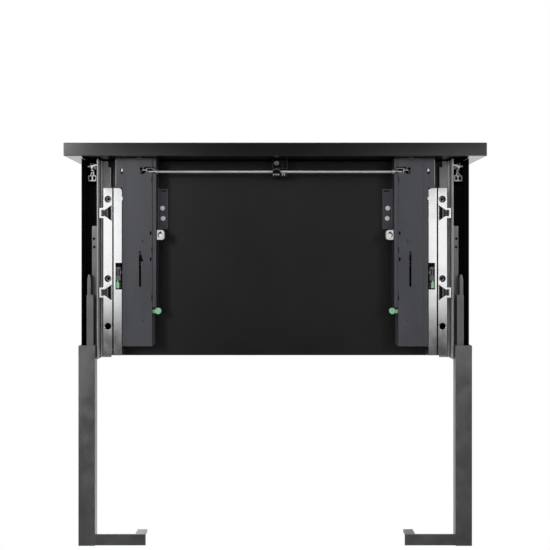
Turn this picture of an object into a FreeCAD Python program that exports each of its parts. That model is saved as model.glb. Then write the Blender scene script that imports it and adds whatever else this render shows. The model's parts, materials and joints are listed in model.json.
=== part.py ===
import FreeCAD, Part
import math
import os
import Sketcher

os.makedirs("parts", exist_ok=True)
doc = FreeCAD.newDocument("drawer")
sheet = doc.addObject("Spreadsheet::Sheet", "sizes")
nodes = {}


class Length:
    """A length in mm, kept together with the sheet formula that gives it."""

    def __init__(self, value, formula):
        self.value = value
        self.formula = formula

    def __add__(self, other):
        other = as_length(other)
        return Length(self.value + other.value, f"({self.formula} + {other.formula})")

    def __sub__(self, other):
        other = as_length(other)
        return Length(self.value - other.value, f"({self.formula} - {other.formula})")

    def __mul__(self, factor):
        return Length(self.value * factor, f"({self.formula} * {factor:.6f})")

    def __neg__(self):
        return self * -1


def as_length(number):
    return number if isinstance(number, Length) else Length(number, f"({number:.6f})")


def size(name, value):
    """Write a driving size in the sheet once, and give it back as a Length."""
    size.row += 1
    cell = f"B{size.row}"
    sheet.set(f"A{size.row}", name.replace("_", " "))
    sheet.set(cell, str(value))
    sheet.setAlias(cell, name)
    return Length(value, f"sizes.{name}")


size.row = 0


def bind(thing, where, length):
    thing.setExpression(where, as_length(length).formula)


def place(thing, at):
    for letter, length in zip("xyz", at):
        bind(thing, f"Placement.Base.{letter}", length)


def box(x, y, z):
    """A block between the two x, the two y and the two z given."""
    block = doc.addObject("Part::Box", "block")
    for side, (low, high) in zip(("Length", "Width", "Height"), (x, y, z)):
        setattr(block, side, (as_length(high) - low).value)
        bind(block, side, as_length(high) - low)
    place(block, (x[0], y[0], z[0]))
    return block


TURNS = {
    "x": FreeCAD.Rotation(FreeCAD.Vector(0, 1, 0), 90),
    "y": FreeCAD.Rotation(FreeCAD.Vector(1, 0, 0), -90),
    "z": FreeCAD.Rotation(),
}


def rod(axis, at, length, radius, far_radius=None):
    """A round bar or cone that starts at a point and runs up along one axis."""
    if far_radius is None:
        bar = doc.addObject("Part::Cylinder", "bar")
        bind(bar, "Radius", radius)
    else:
        bar = doc.addObject("Part::Cone", "cone")
        bind(bar, "Radius1", radius)
        bind(bar, "Radius2", far_radius)
    bind(bar, "Height", length)
    bar.Placement.Rotation = TURNS[axis]
    place(bar, at)
    return bar


def tube(axis, at, length, radius, bore):
    return cut(rod(axis, at, length, radius), rod(axis, at, length, bore))


def hexagon(at, length, width):
    """A six-sided bar along z, for sockets and nuts."""
    bar = doc.addObject("Part::Prism", "hexagon")
    bar.Polygon = 6
    bind(bar, "Circumradius", width * 0.57735)
    bind(bar, "Height", length)
    place(bar, at)
    return bar


PLANES = {"x": "YZ_Plane", "y": "XZ_Plane", "z": "XY_Plane"}


def flat_sketch(body, axis, at):
    """A sketch across one axis, lying at the given place along it."""
    plane = [face for face in body.Origin.OriginFeatures if face.Role == PLANES[axis]][0]
    sketch = body.newObject("Sketcher::SketchObject", "outline")
    sketch.AttachmentSupport = [(plane, "")]
    sketch.MapMode = "FlatFace"
    bind(sketch, "AttachmentOffset.Base.z", -as_length(at) if axis == "y" else at)
    return sketch


def draw(sketch, outline):
    """A closed outline whose every corner is held by two sizes."""
    corners = [(as_length(u), as_length(v)) for u, v in outline]
    points = [FreeCAD.Vector(u.value, v.value, 0) for u, v in corners]
    count = len(points)
    for i in range(count):
        sketch.addGeometry(Part.LineSegment(points[i], points[(i + 1) % count]), False)
    for i in range(count):
        sketch.addConstraint(Sketcher.Constraint("Coincident", i, 2, (i + 1) % count, 1))
    for i, (u, v) in enumerate(corners):
        for kind, length in (("DistanceX", u), ("DistanceY", v)):
            held = sketch.addConstraint(Sketcher.Constraint(kind, -1, 1, i, 1, length.value))
            sketch.setExpression(f"Constraints[{held}]", length.formula)


def prism(axis, outline, start, end):
    """A body whose outline is drawn across one axis and padded along it."""
    body = doc.addObject("PartDesign::Body", "profile")
    sketch = flat_sketch(body, axis, start)
    draw(sketch, outline)
    pad = body.newObject("PartDesign::Pad", "pad")
    pad.Profile = sketch
    pad.Reversed = axis == "y"
    bind(pad, "Length", as_length(end) - start)
    body.Tip = pad
    return body


def group(things):
    whole = doc.addObject("Part::Compound", "set")
    whole.Links = list(things)
    return whole


def fuse(*things):
    joined = doc.addObject("Part::MultiFuse", "joined")
    joined.Shapes = list(things)
    joined.Refine = True
    return joined


def cut(thing, *tools):
    left = doc.addObject("Part::Cut", "cut")
    left.Base = thing
    left.Tool = tools[0] if len(tools) == 1 else group(tools)
    return left


def mirrored(thing):
    twin = doc.addObject("Part::Mirroring", "twin")
    twin.Source = thing
    twin.Normal = FreeCAD.Vector(1, 0, 0)
    return twin


def node(name, thing):
    thing.Label = name
    nodes[name] = thing


def pair(name, left, right=None):
    """A left piece and its right-hand twin, as two nodes."""
    node(f"{name}_left", left)
    node(f"{name}_right", right or mirrored(left))


def both(name, left):
    """A left piece and its right-hand twin, as one node."""
    node(name, group([left, mirrored(left)]))


def span(start, length):
    start = as_length(start)
    return (start, start + length)


def across(edge, start, end):
    """Two x on the left, as distances in from an edge that lies at this half width."""
    return (-edge + start, -edge + end)


def about(middle, width):
    middle = as_length(middle)
    return (middle - as_length(width) * 0.5, middle + as_length(width) * 0.5)


# Drawer front, base and back
front_width = size("front_width", 598)
front_height = size("front_height", 195)
front_thick = size("front_thick", 19)
front_back = size("front_back_face_y", -267)
lift = size("carrier_underside_z", 12)
base_low = lift + size("base_above_carrier", 21)
base_thick = size("base_thick", 16)
side_out = front_width * 0.5 - size("side_to_front_edge", 21)
side_in = side_out - size("side_wall_width", 16.2)
panel_width = (side_in - size("panel_to_side_gap", 0.5)) * 2
base_high = base_low + base_thick
drawer_front = size("drawer_front_end_y", -265.5)
drawer_length = size("drawer_length", 288)
drawer_back = drawer_front + drawer_length
back_thick = size("back_thick", 16)
side_high = lift + size("side_height", 130)

front = box(about(0, front_width), (front_back - front_thick, front_back), (0, front_height))
node("front_panel", front)

rebate = size("base_rebate", 0.6)
base = cut(
    box(about(0, panel_width), (drawer_front, drawer_back - 2.5), (base_low, base_high)),
    box(about(0, panel_width + 2), (drawer_front - 1, drawer_front + 17), (base_low - 1, base_low + rebate)),
)
node("base_panel", base)

back_end = drawer_back - 2.5
node("back_panel", box(about(0, panel_width), (back_end - back_thick, back_end), (base_high, side_high)))

# Drawer side, a double-walled sheet with an inward flange
sheet_steel = size("side_sheet", 1.2)
flange_low = base_low - sheet_steel
flange_edge = side_in - size("flange_reach", 21)
side_low = lift + 0.5
side_outline = [
    (-side_out, side_low),
    (-side_out, side_high),
    (-side_in, side_high),
    (-side_in, base_low),
    (-flange_edge, base_low),
    (-flange_edge, flange_low),
    (-side_in - sheet_steel, flange_low),
    (-side_in - sheet_steel, side_high - sheet_steel),
    (-side_out + sheet_steel, side_high - sheet_steel),
    (-side_out + sheet_steel, side_low),
]
carrier_front = size("carrier_front_y", -223.3)
notch_wide = size("flange_notch_width", 4.7)
notch_long = size("flange_notch_length", 9)
side = cut(
    fuse(
        prism("y", side_outline, drawer_front, drawer_back),
        box(
            (-flange_edge - sheet_steel, -flange_edge),
            (drawer_front, carrier_front - 0.7),
            (flange_low - 1.6, flange_low),
        ),
    ),
    box(
        (-flange_edge - notch_wide, -flange_edge + 1),
        (drawer_front - 1, drawer_front + notch_long),
        (flange_low - 3, base_low + 1),
    ),
    rod("x", (-side_out - 1, drawer_front + 15.5, lift + 60), 2.5, 4.6),
)
pair("side_profile", side)

# Drawer rail, an inverted U that hangs under the side
rail_steel = size("drawer_rail_steel", 1.5)
rail_out = side_out - sheet_steel - size("rail_to_side_gap", 0.3)
rail_width = size("drawer_rail_width", 22.6)
inner_leg = size("inner_leg_steel", 1.8)
rail_in = rail_out - rail_width
rail_high = flange_low
rail_outline = [
    (-rail_out, lift + 9),
    (-rail_out, rail_high),
    (-rail_in, rail_high),
    (-rail_in, lift + 0.5),
    (-rail_in - inner_leg, lift + 0.5),
    (-rail_in - inner_leg, rail_high - rail_steel),
    (-rail_out + rail_steel, rail_high - rail_steel),
    (-rail_out + rail_steel, lift + 9),
]
strip_start = size("strip_start_y", -169.6)
strip_low = lift + size("strip_above_carrier", 10)
strip_wide = size("strip_width", 10.3)
strip = cut(
    box(
        (-rail_in - inner_leg - strip_wide, -rail_in - inner_leg + 0.5),
        (strip_start, drawer_back - 0.5),
        (strip_low, strip_low + rail_steel),
    ),
    rod("z", (-side_out + 15, -151, strip_low - 1), 4, 1.8),
    rod("z", (-side_out + 15.4, -139, strip_low - 1), 4, 1.8),
)
drawer_rail = fuse(
    cut(
        prism("y", rail_outline, drawer_front + 0.2, drawer_back - 0.5),
        box(
            (-rail_out + rail_steel + 0.1, -rail_in - inner_leg - 0.3),
            (drawer_front - 1, drawer_front + 34),
            (rail_high - rail_steel - 1, rail_high + 1),
        ),
    ),
    strip,
)
pair("drawer_rail", drawer_rail)

# Middle rail, with a running gap of rollers above and below
roller_r = size("roller_radius", 1.95)
roller_fit = size("roller_running_gap", 0.05)
middle_steel = size("middle_rail_steel", 1.5)
cabinet_steel = size("cabinet_rail_steel", 1.5)
leg_low = lift - 3
leg_high = leg_low + cabinet_steel
middle_low = leg_high + roller_r * 2 + roller_fit * 2
middle_high = rail_high - rail_steel - roller_r * 2 - roller_fit * 2
middle_in = side_out - size("middle_rail_inner_inset", 16.6)
middle_width = size("middle_rail_width", 9.8)
middle_web = side_out - size("middle_web_inset", 11)
middle_start = size("middle_rail_start_y", -70)
middle_length = size("middle_rail_length", 218)
middle_outline = [
    (-middle_in, middle_low),
    (-middle_in, middle_low + middle_steel),
    (-middle_web, middle_low + middle_steel),
    (-middle_web, middle_high - middle_steel),
    (-middle_in, middle_high - middle_steel),
    (-middle_in, middle_high),
    (-middle_in - middle_width, middle_high),
    (-middle_in - middle_width, middle_high - middle_steel),
    (-middle_web - middle_steel, middle_high - middle_steel),
    (-middle_web - middle_steel, middle_low + middle_steel),
    (-middle_in - middle_width, middle_low + middle_steel),
    (-middle_in - middle_width, middle_low),
]
nose_long = size("middle_nose_length", 29)
nose_tip = middle_start - nose_long
nose_outline = [
    (-side_out + 7.7, middle_start + 3),
    (-side_out + 7.7, nose_tip + 7),
    (-side_out + 9, nose_tip),
    (-side_out + 11.4, nose_tip),
    (-side_out + 12.7, nose_tip + 7),
    (-side_out + 12.7, middle_start + 3),
]
middle_rail = fuse(
    prism("y", middle_outline, middle_start, middle_start + middle_length),
    prism("z", nose_outline, middle_low, middle_low + 6),
)
pair("middle_rail", middle_rail)

# Cabinet rail, fixed to the cabinet wall
wall_out = side_out + size("cabinet_wall_reach", 3)
upstand_in = side_out - size("cabinet_upstand_inset", 20.7)
upstand_lip = side_out - size("cabinet_lip_inset", 15.5)
cabinet_start = size("cabinet_rail_setback", 2)
cabinet_length = size("cabinet_rail_length", 286)
flange_top = lift + 34
cabinet_outline = [
    (-wall_out, flange_top),
    (-wall_out, leg_low),
    (-upstand_in, leg_low),
    (-upstand_in, lift + 7),
    (-upstand_lip, lift + 7),
    (-upstand_lip, lift + 5.5),
    (-upstand_in - cabinet_steel, lift + 5.5),
    (-upstand_in - cabinet_steel, leg_high),
    (-wall_out + cabinet_steel, leg_high),
    (-wall_out + cabinet_steel, flange_top),
]
cabinet_end = cabinet_start + cabinet_length
screw_spots_y = (
    cabinet_start + size("cabinet_front_screw_setback", 35),
    cabinet_end - size("cabinet_rear_screw_setback", 27),
)
screw_r = size("cabinet_screw_hole_radius", 2.2)
screw_high = lift + 25
cabinet_rail = cut(
    prism("y", cabinet_outline, cabinet_start, cabinet_end),
    *[rod("x", (-wall_out - 1, spot, screw_high), 4, screw_r) for spot in screw_spots_y],
)
pair("cabinet_rail", cabinet_rail)

# Striker that the ejector pushes against, on the cabinet rail
push_in = size("push_in_stroke", 2.5)
open_at_rest = size("open_at_rest", 263.5)
striker_gap = size("striker_gap", 0.3)
striker_face = cabinet_end - size("striker_setback", 16.7)
pusher_tip = striker_face - striker_gap - push_in - open_at_rest
rod_out = side_out - size("pusher_inset", 85)
striker = fuse(
    box((-upstand_in, -rod_out + 8), (striker_face, striker_face + 16), (leg_low, leg_high)),
    box(about(-rod_out, 14), (striker_face, striker_face + 4), (leg_low, lift + 12)),
    prism(
        "x",
        [
            (striker_face + 3.5, leg_high - 0.2),
            (striker_face + 14, leg_high - 0.2),
            (striker_face + 3.5, lift + 9),
        ],
        -rod_out - 1,
        -rod_out + 1,
    ),
)
both("strikers", striker)

# Roller cages, and rollers that run between the rails
cage_thick = size("cage_thick", 2)
cage_play = size("cage_window_play", 0.4)
roller_pitch = size("roller_pitch", 14)
roller_long = size("roller_length", 7.6)


def cage(inner, width, start, count, level):
    """A cage plate with one window per roller, and the rollers that sit in it."""
    length = roller_pitch * count + 3
    windows = []
    rollers = []
    middle = inner + width * 0.5
    for i in range(count):
        y = start + roller_pitch * (i + 0.5) + 1.5
        windows.append(
            box(
                about(-middle, roller_long + cage_play),
                about(y, roller_r * 2 + cage_play),
                (level - cage_thick, level + cage_thick),
            )
        )
        rollers.append(rod("x", (-middle - roller_long * 0.5, y, level), roller_long, roller_r))
    plate = box((-inner - width, -inner), span(start, length), about(level, cage_thick))
    return cut(plate, *windows), group(rollers)


lower_level = leg_high + roller_r + roller_fit
upper_level = rail_high - rail_steel - roller_r - roller_fit
lower_start = size("lower_cage_start_y", 19)
upper_start = size("upper_cage_start_y", -57.6)
cage_wide = size("cage_width", 10.6)
lower_cage, lower_rollers = cage(side_out - 18, cage_wide, lower_start, 8, lower_level)
upper_cage, upper_rollers = cage(side_out - 18.4, cage_wide, upper_start, 5, upper_level)
pair("lower_cage", lower_cage)
pair("lower_rollers", lower_rollers)
pair("upper_cage", upper_cage)
pair("upper_rollers", upper_rollers)

# Carrier rail, a bright box profile with a groove, holes and cut-outs
carrier_in = side_out - size("carrier_inner_inset", 58.1)
carrier_width = size("carrier_width", 26.3)
carrier_out = carrier_in + carrier_width
carrier_steel = size("carrier_steel", 1.5)
carrier_end = drawer_back - 6
groove_out = carrier_out - size("groove_inset", 13.7)
groove_wide = size("groove_width", 2)
box_outline = [
    (-groove_out + groove_wide * 0.5, lift),
    (-carrier_in, lift),
    (-carrier_in, flange_low),
    (-carrier_out, flange_low),
    (-carrier_out, lift),
    (-groove_out - groove_wide * 0.5, lift),
    (-groove_out - groove_wide * 0.5, lift + carrier_steel),
    (-carrier_out + carrier_steel, lift + carrier_steel),
    (-carrier_out + carrier_steel, flange_low - carrier_steel),
    (-carrier_in - carrier_steel, flange_low - carrier_steel),
    (-carrier_in - carrier_steel, lift + carrier_steel),
    (-groove_out + groove_wide * 0.5, lift + carrier_steel),
]
hole_r = size("carrier_hole_radius", 4.8)
hole_out = carrier_out - size("carrier_hole_inset", 6.6)
shank_r = size("carrier_shank_radius", 2)
screw_spots = [size("front_screw_y", -207.3), size("rear_screw_y", -93.4)]
open_spot = size("open_hole_y", -25.2)
cutout_first = size("cutout_y", -187.5)
cutout_pitch = size("cutout_pitch", 114)
cutout_deep = size("cutout_depth", 11.9)
window_in = carrier_out - size("window_inset", 17.4)
window_spot = (size("window_start_y", -116), size("window_end_y", -78))
corner = size("carrier_corner_chamfer", 2.7)
plate_low = (lift - 1, lift + carrier_steel + 0.2)
holes = [
    rod("z", (-hole_out, spot, lift - 1), carrier_steel + 2, hole_r)
    for spot in screw_spots + [open_spot]
]
holes += [
    rod("z", (-hole_out, spot, flange_low - carrier_steel - 1), carrier_steel + 2, shank_r + 0.05)
    for spot in screw_spots
]
tabs = []
for spot in (cutout_first, cutout_first + cutout_pitch):
    holes.append(
        prism(
            "z",
            [
                (-carrier_out + cutout_deep, spot - 11.2),
                (-carrier_out + 2.4, spot - 4.6),
                (-carrier_out - 3.2, spot - 4.6),
                (-carrier_out - 3.2, spot + 4.6),
                (-carrier_out + 2.4, spot + 4.6),
                (-carrier_out + cutout_deep, spot + 11.2),
            ],
            *plate_low,
        )
    )
    tabs.append(box(across(carrier_out, -5.7, 0.5), about(spot, 14.5), (lift, lift + carrier_steel)))
carrier_cuts = holes + [
    box((-window_in, -carrier_in + 1), window_spot, (lift - 1, lift + 12)),
    prism(
        "z",
        [
            (-carrier_in + 1, carrier_front - 1),
            (-carrier_in - corner - 1, carrier_front - 1),
            (-carrier_in + 1, carrier_front + corner + 1),
        ],
        lift - 1,
        flange_low + 1,
    ),
]
carrier = cut(
    fuse(
        prism("y", box_outline, carrier_front, carrier_end),
        box((-carrier_in - 0.5, -carrier_in + 1.7), (-210.6, -206.3), (lift, lift + carrier_steel - 0.4)),
        *tabs,
    ),
    *carrier_cuts,
)
pair("carrier_rail", carrier)

# Socket screws inside the carrier rail
head_r = size("carrier_screw_head_radius", 4.2)


def socket_screw(spot):
    head_low = lift + 3
    head_high = flange_low - carrier_steel
    return cut(
        fuse(
            rod("z", (-hole_out, spot, head_low), head_high - head_low, head_r),
            rod("z", (-hole_out, spot, head_high - 1), carrier_steel + 0.9, shank_r),
        ),
        hexagon((-hole_out, spot, head_low - 1), 4.5, as_length(4)),
    )


both("carrier_screws", group([socket_screw(spot) for spot in screw_spots]))

# Lock body and green release lever in the carrier rail's window
fit = size("pivot_running_gap", 0.05)
lock_pin_r = size("lock_pin_radius", 1.5)
lock_x = carrier_out - size("lock_pivot_inset", 21.8)
lock_y = size("lock_pivot_y", -84.5)
lock_low = lift + 1
lock_roof = flange_low - carrier_steel
lock_body = fuse(
    box(across(carrier_out, 18.2, 24.5), (-115.2, -91.5), (lock_low + 2, lock_roof)),
    box(across(carrier_out, 19.7, 23.7), (-113, -104), (lock_low, lock_roof)),
    box(across(carrier_out, 18.2, 24.5), (-92, -78.6), (lock_roof - 4, lock_roof)),
    rod("z", (-carrier_out + 20, -97.5, lock_low), 8, 1.4),
    rod("z", (-carrier_out + 23.6, -97.5, lock_low), 8, 1.4),
    rod("z", (-lock_x, lock_y, lock_low + 0.5), lock_roof - lock_low - 1, lock_pin_r),
)


def insert(spot):
    """The ribbed block that fills one cut-out of the carrier rail."""
    block_outline = [
        (-carrier_out + 2.9, spot - 4.1),
        (-carrier_out + cutout_deep - 0.5, spot - 10.2),
        (-carrier_out + cutout_deep - 0.5, spot + 10.2),
        (-carrier_out + 2.9, spot + 4.1),
    ]
    return fuse(
        prism("z", block_outline, lift + 0.5, lock_roof),
        box(across(carrier_out, -2.6, 3.1), about(spot, 7.6), (lift + 0.5, lift + carrier_steel)),
    )


both("lock_bodies", group([lock_body, insert(cutout_first), insert(cutout_first + cutout_pitch)]))
lever_high = lock_low + 6
release_lever = cut(
    fuse(
        box((-lock_x - 3.6, -lock_x + 3.6), (lock_y - 5, lock_y + 5), (lock_low + 1, lever_high)),
        box((-lock_x - 1, -lock_x + 1), (lock_y - 5, lock_y + 5), (lock_low, lever_high)),
    ),
    rod("z", (-lock_x, lock_y, lock_low - 1), 12, lock_pin_r + fit),
)
pair("release_lever", release_lever)

# Ejector unit housing, a tray that is open towards the base panel
tray_in = side_out - size("housing_inner_inset", 107)
tray_out = side_out - size("housing_outer_inset", 58.6)
face_in = tray_in + size("housing_inner_ledge", 5.5)
face_out = tray_out - size("housing_outer_ledge", 6.9)
tray_wall = size("housing_wall", 1.5)
tray_step = size("housing_step", 1.2)
tray_front = size("housing_front_y", -266.5)
tray_back = size("housing_back_y", 3.5)
floor_high = lift + tray_step + tray_wall
narrow_from = size("housing_narrow_y", -52)
tray_outline = [
    (-tray_in, base_low),
    (-tray_in, lift + tray_step),
    (-face_in, lift + tray_step),
    (-face_in, lift),
    (-face_out, lift),
    (-face_out, lift + tray_step),
    (-tray_out, lift + tray_step),
    (-tray_out, base_low),
    (-tray_out + tray_wall, base_low),
    (-tray_out + tray_wall, floor_high),
    (-face_out + tray_wall, floor_high),
    (-face_out + tray_wall, lift + tray_wall),
    (-face_in - tray_wall, lift + tray_wall),
    (-face_in - tray_wall, floor_high),
    (-tray_in - tray_wall, floor_high),
    (-tray_in - tray_wall, base_low),
]
shaft_y = size("shaft_y", -247.9)
shaft_z = lift + size("shaft_above_carrier", 8.5)
shaft_r = size("shaft_radius", 1.8)
shaft_fit = size("shaft_running_gap", 0.05)
shaft_end = tray_out - size("shaft_end_inset", 15.9)
rod_level = lift + 8
pusher_r = size("pusher_radius", 2.5)
pusher_fit = size("pusher_running_gap", 0.05)
guide_out = tray_out - size("guide_inset", 33.4)
guide_level = lift + 9
guide_r = size("guide_radius", 1.5)
guide_fit = size("guide_running_gap", 0.05)
bar_in = tray_out - size("trigger_inner_inset", 23.4)
bar_wide = size("trigger_width", 5)
bar_low = lift + 13
bar_high = lift + 17
bar_fit = size("trigger_running_gap", 0.05)
latch_y = size("latch_pivot_y", -112)
latch_z = lift + 15.5
latch_pin_r = size("latch_pin_radius", 1)
latch_fit = size("latch_running_gap", 0.05)
lever_x = tray_out - size("force_pivot_inset", 37.4)
lever_y = size("force_lever_y", -46.8)
lever_pin_r = size("force_pin_radius", 1.5)
damper_x = tray_out - size("damper_inset", 14.4)
damper_z = lift + 8.5
damper_r = size("damper_radius", 4.5)


def rib(x, y, top):
    return box(x, y, (lift + tray_wall - 0.3, lift + top))


bar_guides = [
    cut(
        rib(across(tray_out, 16.9, 24.9), y, 19),
        box(
            (-bar_in - bar_wide - bar_fit, -bar_in + bar_fit),
            (y[0] - 1, y[1] + 1),
            (bar_low - bar_fit, bar_high + bar_fit),
        ),
    )
    for y in ((-232, -229), (-200, -197))
]
end_rib = cut(
    rib(across(tray_out, 15.4, 17.4), (-252, -243.8), 12.6),
    rod("x", (-tray_out + 13.4, shaft_y, shaft_z), 6, shaft_r + shaft_fit),
)
spring_rib = cut(
    rib(across(tray_out, 28.4, 38.4), (-190, -187), 14),
    rod("y", (-guide_out, -191, guide_level), 6, guide_r),
)
rear_rib = cut(
    rib(across(tray_out, 29.9, 38.4), (-72, -69), 14),
    rod("y", (-guide_out, -73, guide_level), 6, guide_r),
)
cradles = [
    cut(rib(across(tray_out, 8.4, 20.4), y, 7), rod("y", (-damper_x, y[0] - 1, damper_z), 6, damper_r))
    for y in ((-186, -183), (-150, -147))
]
latch_bridge = fuse(
    box((-tray_out + 30.9, -tray_in - 0.5), (latch_y - 3, latch_y + 3), (lift + 13.6, lift + 18)),
    rod("x", (-tray_out + 24.4, latch_y, latch_z), 8, latch_pin_r),
)
force_boss = fuse(
    rod("z", (-lever_x, lever_y, lift + tray_wall - 0.3), 1.6, 3.4),
    rod("z", (-lever_x, lever_y, lift + tray_wall - 0.3), 10, lever_pin_r),
)
tray_body = fuse(
    prism("y", tray_outline, tray_front, tray_back),
    box((-tray_out, -tray_in), (tray_front, tray_front + tray_wall), (lift + tray_step, base_low)),
    box((-tray_out, -tray_in), (tray_back - tray_wall, tray_back), (lift + tray_step, base_low)),
    box((-face_in - tray_wall, -face_in), (narrow_from, tray_back), (lift + 0.3, base_low)),
    box((-face_in - 0.5, -tray_in), (narrow_from - tray_wall, narrow_from), (lift + tray_step, base_low)),
    box((-tray_out - 9.1, -tray_out + 1), (tray_front, carrier_front - 0.7), (lift + tray_step, floor_high)),
    box(across(tray_out, -9.1, -7.6), (tray_front, carrier_front - 0.7), (lift + tray_step, flange_low - 2)),
    *bar_guides,
    end_rib,
    spring_rib,
    rear_rib,
    *cradles,
    latch_bridge,
    force_boss,
)
through = (lift - 1, floor_high + 0.1)
slot_in = tray_out - size("carriage_slot_inset", 27.2)
slot_wide = size("carriage_slot_width", 3)
slot_start = size("carriage_slot_start_y", -133)
slot_long = size("carriage_slot_length", 51)
narrow_slots = [box(about(-tray_out + 42.7, 1.2), about(y, 8), through) for y in (-235.5, -134, -66)]
oblongs = [box(about(-tray_out + 41.1, 2.6), about(y, 4.6), (lift - 1, lift + 2.5)) for y in (-158.7, -121.2)]
tray_cuts = [
    rod("z", (-tray_out - 0.4, -248.9, lift - 1), base_low - lift + 2, 2.95),
    box(about(-tray_out - 0.4, 3.2), (-248.9, -243.6), through),
    box((-tray_out + 25.4, -tray_out + 32.4), (-252.8, -243.7), through),
    box((-tray_out + 32, -tray_in - 2), (-253.6, -245.8), through),
    box((-tray_in - 2.5, -tray_in + 1), (-249.8, -246), (lift - 1, shaft_z)),
    rod("z", (-tray_in - 3.2, -245.6, lift - 1), 4, 1.2),
    box(about(-tray_out + 29.4, 0.8), about(-147, 4), through),
    box((-slot_in - slot_wide, -slot_in), span(slot_start, slot_long), through),
    rod("z", (-tray_out + 29.6, -33.4, lift - 1), 5, 0.75),
    box(across(tray_out, 20.4, 29.4), (tray_front - 1, tray_front + 0.7), (lift - 1, lift + 0.6)),
    box((-face_in, -tray_in + 1), (narrow_from, tray_back + 1), (lift - 1, base_low + 1)),
    box((-face_in - tray_wall - 0.2, -tray_in + 1), (-57, -37.6), (floor_high, lift + 9.5)),
    rod("x", (-tray_in - tray_wall - 1, shaft_y, shaft_z), 4, 3.5),
    rod("y", (-rod_out, tray_back - 3, rod_level), 6, pusher_r + pusher_fit),
    *narrow_slots,
    *oblongs,
]
plain_housing = cut(tray_body, *tray_cuts)
catch_window = [
    box((-slot_in - 1, -slot_in + 1.6), (-126.8, -121), through),
    box((-slot_in - 3.4, -slot_in + 2.8), (-121.5, -118), through),
]
pair("unit_housing", cut(plain_housing, *catch_window), mirrored(plain_housing))

# Guide rods and dampers, fixed in the housings
both("guide_rods", rod("y", (-guide_out, -190, guide_level), 121, guide_r))
damper_rod_r = size("damper_rod_radius", 1.25)
damper_fit = size("damper_running_gap", 0.05)
damper = cut(
    rod("y", (-damper_x, -190, damper_z), 50, damper_r),
    rod("y", (-damper_x, -189, damper_z), 50, damper_rod_r + damper_fit),
)
both("damper_cylinders", damper)

# Ejector carriage with foot, catch and pusher rod
carriage_front = size("carriage_front_y", -136)
carriage_long = size("carriage_length", 12)
carriage_back = carriage_front + carriage_long
carriage = cut(
    fuse(
        box(across(tray_out, 11.4, 36.9), (carriage_front, carriage_back), (lift + 4, lift + 12)),
        box(
            (-slot_in - slot_wide + 0.3, -slot_in - 0.3),
            (slot_start + 0.5, slot_start + 5.5),
            (lift + 0.3, lift + 5),
        ),
        box(across(tray_out, 24.9, 29.9), (carriage_back - 7, carriage_back - 4), (lift + 11.5, lift + 13.1)),
        rod("y", (-rod_out, carriage_back - 1, rod_level), pusher_tip - carriage_back + 1, pusher_r),
    ),
    rod("y", (-guide_out, carriage_front - 1, guide_level), carriage_long + 2, guide_r + guide_fit),
)
pair("ejector_carriage", carriage)
damper_rod = rod("y", (-damper_x, -188, damper_z), carriage_front + 188, damper_rod_r)
pair("damper_rod", damper_rod)

# Ejector spring, wound around the guide rod
wire_r = size("spring_wire_radius", 0.5)
coil_r = size("spring_coil_radius", 3.1)
spring_front = size("spring_front_y", -186.4)
coil_count = 20
coil = doc.addObject("Part::Helix", "coil")
bind(coil, "Radius", coil_r)
bind(coil, "Height", carriage_front - 0.6 - spring_front)
bind(coil, "Pitch", (carriage_front - 0.6 - spring_front) * (1 / coil_count))
coil.SegmentLength = 1
coil.Placement.Rotation = TURNS["y"]
place(coil, (-guide_out, spring_front, guide_level))
wire_end = doc.addObject("Part::Circle", "wire_end")
bind(wire_end, "Radius", wire_r)
place(wire_end, (-guide_out + coil_r, spring_front, guide_level))
spring = doc.addObject("Part::Sweep", "spring")
spring.Sections = [wire_end]
spring.Solid = True
spring.Frenet = True

# Synchronising shaft with couplings and pinions
node("sync_shaft", rod("x", (-shaft_end, shaft_y, shaft_z), shaft_end * 2, shaft_r))
coupling_r = size("coupling_radius", 4)
neck_r = size("coupling_neck_radius", 3)
coupling = cut(
    fuse(
        rod("x", (-tray_out + 34.8, shaft_y, shaft_z), 11.2, coupling_r),
        rod("x", (-tray_out + 26.4, shaft_y, shaft_z), 9, neck_r),
    ),
    rod("x", (-tray_out + 25, shaft_y, shaft_z), 22, shaft_r),
)
both("shaft_couplings", coupling)
tooth = size("tooth_module", 0.8)
teeth = 12
root_r = tooth * 5.2
base_circle = tooth * 5.638
pinion_body = doc.addObject("PartDesign::Body", "pinion")
hub_sketch = flat_sketch(pinion_body, "x", -bar_in - bar_wide)
bind(hub_sketch, "AttachmentOffset.Base.x", shaft_y)
bind(hub_sketch, "AttachmentOffset.Base.y", shaft_z)
for i, radius in enumerate((root_r, shaft_r)):
    hub_sketch.addGeometry(
        Part.Circle(FreeCAD.Vector(0, 0, 0), FreeCAD.Vector(0, 0, 1), radius.value), False
    )
    hub_sketch.addConstraint(Sketcher.Constraint("Coincident", i, 3, -1, 1))
    held = hub_sketch.addConstraint(Sketcher.Constraint("Radius", i, radius.value))
    bind(hub_sketch, f"Constraints[{held}]", radius)
hub = pinion_body.newObject("PartDesign::Pad", "hub")
hub.Profile = hub_sketch
bind(hub, "Length", bar_wide)


def flank(radius):
    """Half the angle of a tooth at this radius, in modules: an involute above the base circle."""
    turn = math.acos(5.638 / max(radius, 5.638))
    at_pitch = 1.10 / 2 / 4.8
    pitch_turn = math.acos(5.638 / 6)
    return at_pitch + (math.tan(pitch_turn) - pitch_turn) - (math.tan(turn) - turn)


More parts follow.
